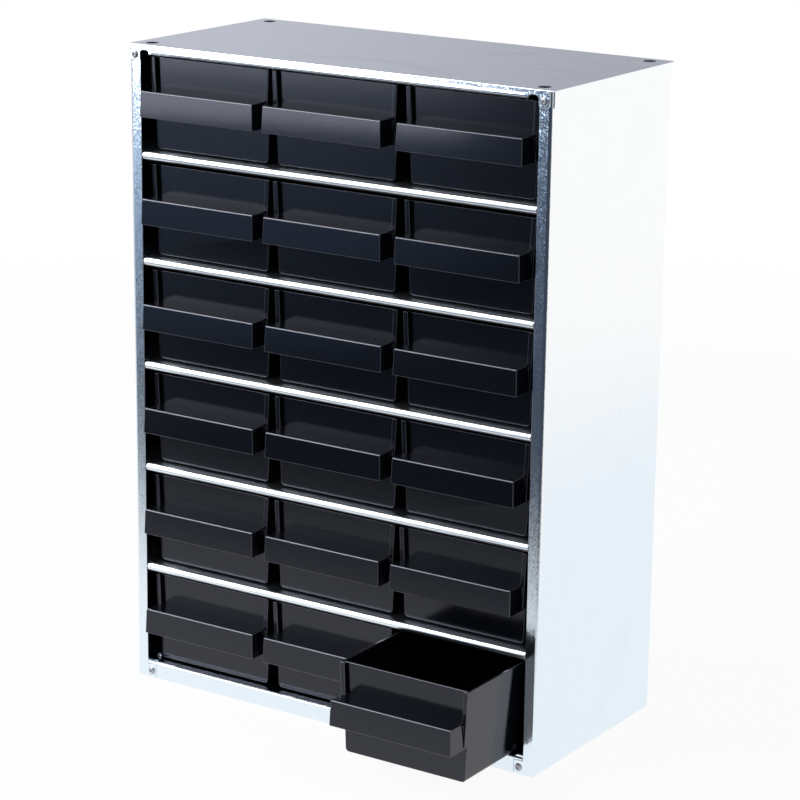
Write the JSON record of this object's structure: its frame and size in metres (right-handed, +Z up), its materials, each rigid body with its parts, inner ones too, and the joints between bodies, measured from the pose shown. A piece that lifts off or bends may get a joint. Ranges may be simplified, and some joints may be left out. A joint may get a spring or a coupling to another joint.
{
  "type": "small parts cabinet",
  "caption": "Upright case of folded zinc-coated sheet with rolled shelf lips, holding rows of black plastic drawers that slide out by lipped handles.",
  "frame": {"origin": "middle of the case's base, on the floor, half way between its front and back and its two sides", "axes": "+Z up, front towards -Y, +X to the right of someone who faces the drawers"},
  "size_m": [0.306, 0.2158, 0.417],
  "materials": {
    "zinc_sheet": "zinc-coated, fine spangle, satin",
    "rivet_steel": "zinc-plated, satin",
    "black_plastic": "black conductive moulding, semi-gloss"
  },
  "bodies": {
    "case": {"top_cap": "zinc_sheet", "bottom_tray": "zinc_sheet", "left_side": "zinc_sheet", "right_side": "zinc_sheet", "back_panel": "zinc_sheet", "front_rivets": "rivet_steel", "back_rivets": "rivet_steel", "shelf_1": "zinc_sheet", "shelf_2": "zinc_sheet", "shelf_3": "zinc_sheet", "shelf_4": "zinc_sheet", "shelf_5": "zinc_sheet"},
    "drawer_r1_c1": {"drawer_r1_c1": "black_plastic"},
    "drawer_r1_c2": {"drawer_r1_c2": "black_plastic"},
    "drawer_r1_c3": {"drawer_r1_c3": "black_plastic"},
    "drawer_r2_c1": {"drawer_r2_c1": "black_plastic"},
    "drawer_r2_c2": {"drawer_r2_c2": "black_plastic"},
    "drawer_r2_c3": {"drawer_r2_c3": "black_plastic"},
    "drawer_r3_c1": {"drawer_r3_c1": "black_plastic"},
    "drawer_r3_c2": {"drawer_r3_c2": "black_plastic"},
    "drawer_r3_c3": {"drawer_r3_c3": "black_plastic"},
    "drawer_r4_c1": {"drawer_r4_c1": "black_plastic"},
    "drawer_r4_c2": {"drawer_r4_c2": "black_plastic"},
    "drawer_r4_c3": {"drawer_r4_c3": "black_plastic"},
    "drawer_r5_c1": {"drawer_r5_c1": "black_plastic"},
    "drawer_r5_c2": {"drawer_r5_c2": "black_plastic"},
    "drawer_r5_c3": {"drawer_r5_c3": "black_plastic"},
    "drawer_r6_c1": {"drawer_r6_c1": "black_plastic"},
    "drawer_r6_c2": {"drawer_r6_c2": "black_plastic"},
    "drawer_r6_c3": {"drawer_r6_c3": "black_plastic"}
  },
  "joints": [
    {"name": "drawer_r1_c1_slide", "type": "slide", "parent": "case", "child": "drawer_r1_c1", "axis": [0, -1, 0], "range_m": [0, 0.105]},
    {"name": "drawer_r1_c2_slide", "type": "slide", "parent": "case", "child": "drawer_r1_c2", "axis": [0, -1, 0], "range_m": [0, 0.105]},
    {"name": "drawer_r1_c3_slide", "type": "slide", "parent": "case", "child": "drawer_r1_c3", "axis": [0, -1, 0], "range_m": [0, 0.105]},
    {"name": "drawer_r2_c1_slide", "type": "slide", "parent": "case", "child": "drawer_r2_c1", "axis": [0, -1, 0], "range_m": [0, 0.105]},
    {"name": "drawer_r2_c2_slide", "type": "slide", "parent": "case", "child": "drawer_r2_c2", "axis": [0, -1, 0], "range_m": [0, 0.105]},
    {"name": "drawer_r2_c3_slide", "type": "slide", "parent": "case", "child": "drawer_r2_c3", "axis": [0, -1, 0], "range_m": [0, 0.105]},
    {"name": "drawer_r3_c1_slide", "type": "slide", "parent": "case", "child": "drawer_r3_c1", "axis": [0, -1, 0], "range_m": [0, 0.105]},
    {"name": "drawer_r3_c2_slide", "type": "slide", "parent": "case", "child": "drawer_r3_c2", "axis": [0, -1, 0], "range_m": [0, 0.105]},
    {"name": "drawer_r3_c3_slide", "type": "slide", "parent": "case", "child": "drawer_r3_c3", "axis": [0, -1, 0], "range_m": [0, 0.105]},
    {"name": "drawer_r4_c1_slide", "type": "slide", "parent": "case", "child": "drawer_r4_c1", "axis": [0, -1, 0], "range_m": [0, 0.105]},
    {"name": "drawer_r4_c2_slide", "type": "slide", "parent": "case", "child": "drawer_r4_c2", "axis": [0, -1, 0], "range_m": [0, 0.105]},
    {"name": "drawer_r4_c3_slide", "type": "slide", "parent": "case", "child": "drawer_r4_c3", "axis": [0, -1, 0], "range_m": [0, 0.105]},
    {"name": "drawer_r5_c1_slide", "type": "slide", "parent": "case", "child": "drawer_r5_c1", "axis": [0, -1, 0], "range_m": [0, 0.105]},
    {"name": "drawer_r5_c2_slide", "type": "slide", "parent": "case", "child": "drawer_r5_c2", "axis": [0, -1, 0], "range_m": [0, 0.105]},
    {"name": "drawer_r5_c3_slide", "type": "slide", "parent": "case", "child": "drawer_r5_c3", "axis": [0, -1, 0], "range_m": [0, 0.105]},
    {"name": "drawer_r6_c1_slide", "type": "slide", "parent": "case", "child": "drawer_r6_c1", "axis": [0, -1, 0], "range_m": [0, 0.105]},
    {"name": "drawer_r6_c2_slide", "type": "slide", "parent": "case", "child": "drawer_r6_c2", "axis": [0, -1, 0], "range_m": [0, 0.105]},
    {"name": "drawer_r6_c3_slide", "type": "slide", "parent": "case", "child": "drawer_r6_c3", "axis": [0, -1, 0], "range_m": [-0.063, 0.042]}
  ]
}
